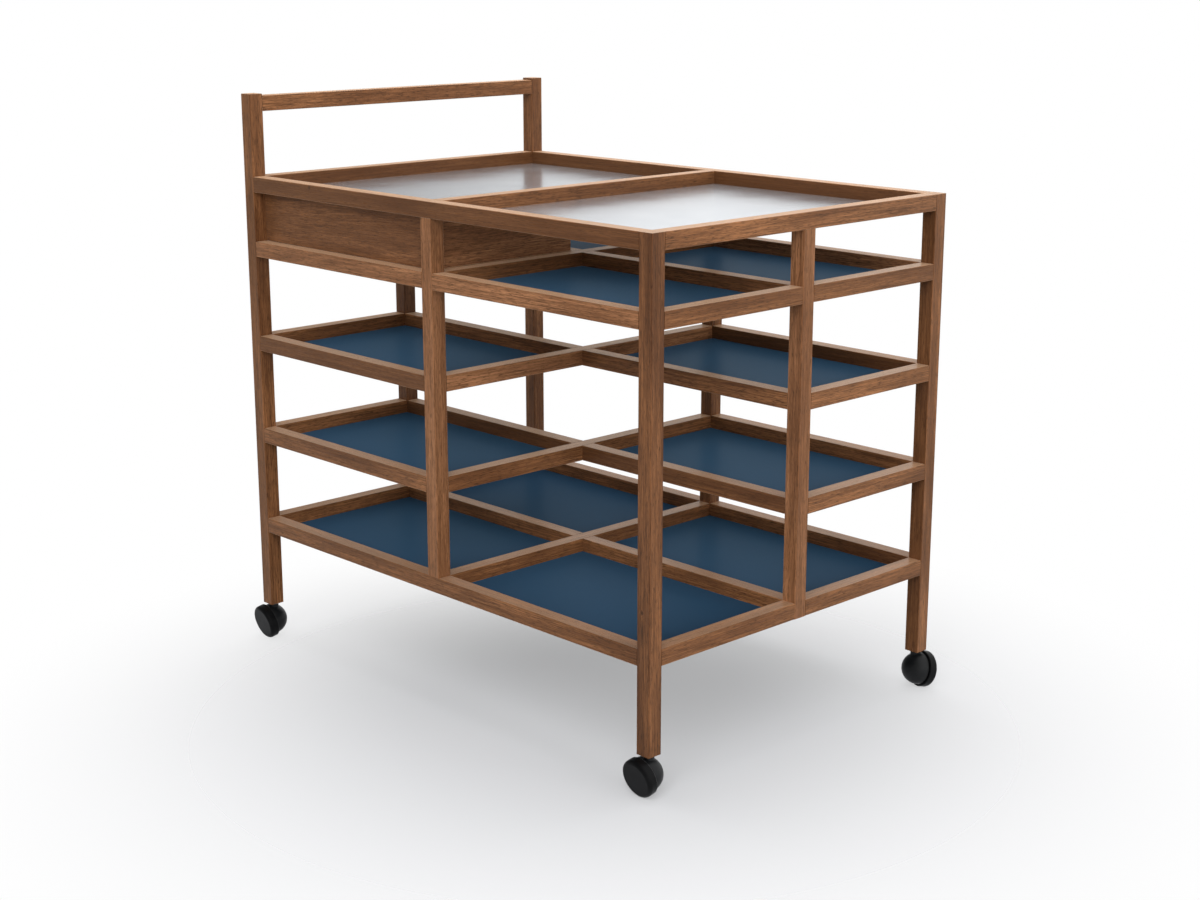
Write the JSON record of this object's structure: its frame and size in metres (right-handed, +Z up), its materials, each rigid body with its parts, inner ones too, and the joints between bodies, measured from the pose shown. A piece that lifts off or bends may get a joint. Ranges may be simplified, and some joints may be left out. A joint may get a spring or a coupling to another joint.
{
  "type": "bar cart",
  "caption": "Rolling bar cart: square walnut frame with end handle, sunken tray top, blue shelf panels in staggered bays, a drawer and ball casters.",
  "frame": {"origin": "on the floor, under the middle of the cart", "axes": "+X along the cart to the end without the handle, +Z up, the drawer's front faces -Y"},
  "size_m": [0.8752, 0.5908, 0.8255],
  "materials": {
    "walnut": "satin oiled walnut, grain along each piece",
    "tray_panel": "satin, clear anodised sheet",
    "shelf_panel": "dark blue satin laminate",
    "caster": "black moulded plastic, fine grain",
    "steel": "turned, zinc plated",
    "insert": "turned"
  },
  "bodies": {
    "frame": {"back_left_post": "walnut", "back_middle_post": "walnut", "back_right_post": "walnut", "bottom_back_rail": "walnut", "bottom_cross_rail": "walnut", "bottom_end_rails": "walnut", "bottom_front_rail": "walnut", "bottom_long_rail": "walnut", "bottom_panels": "shelf_panel", "caster_inserts": "insert", "caster_stems": "steel", "drawer_bearer": "walnut", "front_left_post": "walnut", "front_middle_post": "walnut", "front_right_post": "walnut", "handle_rail": "walnut", "left_drawer_runner": "walnut", "left_middle_post": "walnut", "lower_cross_rail": "walnut", "lower_edge_rails": "walnut", "lower_end_rails": "walnut", "lower_long_rail": "walnut", "lower_panels": "shelf_panel", "middle_cross_rail": "walnut", "middle_edge_rails": "walnut", "middle_end_rails": "walnut", "middle_long_rail": "walnut", "middle_panels": "shelf_panel", "right_drawer_runner": "walnut", "right_middle_post": "walnut", "top_back_rail": "walnut", "top_divider": "walnut", "top_front_rail": "walnut", "top_left_panel": "tray_panel", "top_left_rail": "walnut", "top_right_panel": "tray_panel", "top_right_rail": "walnut", "upper_cross_rail": "walnut", "upper_edge_rails": "walnut", "upper_end_rails": "walnut", "upper_long_rail": "walnut", "upper_panels": "shelf_panel"},
    "drawer": {"drawer_front": "walnut", "drawer_back": "walnut", "drawer_left_side": "walnut", "drawer_right_side": "walnut", "drawer_bottom": "walnut", "drawer_stop": "walnut"},
    "front_left_swivel": {"front_left_caster_hood": "caster", "front_left_caster_axle": "steel"},
    "front_left_wheel": {"front_left_caster_wheel": "caster"},
    "front_right_swivel": {"front_right_caster_hood": "caster", "front_right_caster_axle": "steel"},
    "front_right_wheel": {"front_right_caster_wheel": "caster"},
    "back_left_swivel": {"back_left_caster_hood": "caster", "back_left_caster_axle": "steel"},
    "back_left_wheel": {"back_left_caster_wheel": "caster"},
    "back_right_swivel": {"back_right_caster_hood": "caster", "back_right_caster_axle": "steel"},
    "back_right_wheel": {"back_right_caster_wheel": "caster"}
  },
  "joints": [
    {"name": "drawer_slide", "type": "slide", "parent": "frame", "child": "drawer", "axis": [0, -1, 0], "range_m": [0, 0.19]},
    {"name": "front_left_swivel_turn", "type": "hinge", "parent": "frame", "child": "front_left_swivel", "pos_m": [-0.406, -0.271, 0.05], "axis": [0, 0, 1], "continuous": true},
    {"name": "front_left_wheel_spin", "type": "hinge", "parent": "front_left_swivel", "child": "front_left_wheel", "pos_m": [-0.41059, -0.28468, 0.02546], "axis": [-0.0764, -0.9714, -0.225], "continuous": true},
    {"name": "front_right_swivel_turn", "type": "hinge", "parent": "frame", "child": "front_right_swivel", "pos_m": [0.406, -0.271, 0.05], "axis": [0, 0, 1], "continuous": true},
    {"name": "front_right_wheel_spin", "type": "hinge", "parent": "front_right_swivel", "child": "front_right_wheel", "pos_m": [0.40189, -0.28483, 0.02546], "axis": [-0.0425, -0.9734, -0.225], "continuous": true},
    {"name": "back_left_swivel_turn", "type": "hinge", "parent": "frame", "child": "back_left_swivel", "pos_m": [-0.406, 0.271, 0.05], "axis": [0, 0, 1], "continuous": true},
    {"name": "back_left_wheel_spin", "type": "hinge", "parent": "back_left_swivel", "child": "back_left_wheel", "pos_m": [-0.40373, 0.28525, 0.02546], "axis": [-0.0849, 0.9707, -0.225], "continuous": true},
    {"name": "back_right_swivel_turn", "type": "hinge", "parent": "frame", "child": "back_right_swivel", "pos_m": [0.406, 0.271, 0.05], "axis": [0, 0, 1], "continuous": true},
    {"name": "back_right_wheel_spin", "type": "hinge", "parent": "back_right_swivel", "child": "back_right_wheel", "pos_m": [0.41365, 0.28323, 0.02546], "axis": [0.3011, 0.9267, -0.225], "continuous": true}
  ]
}
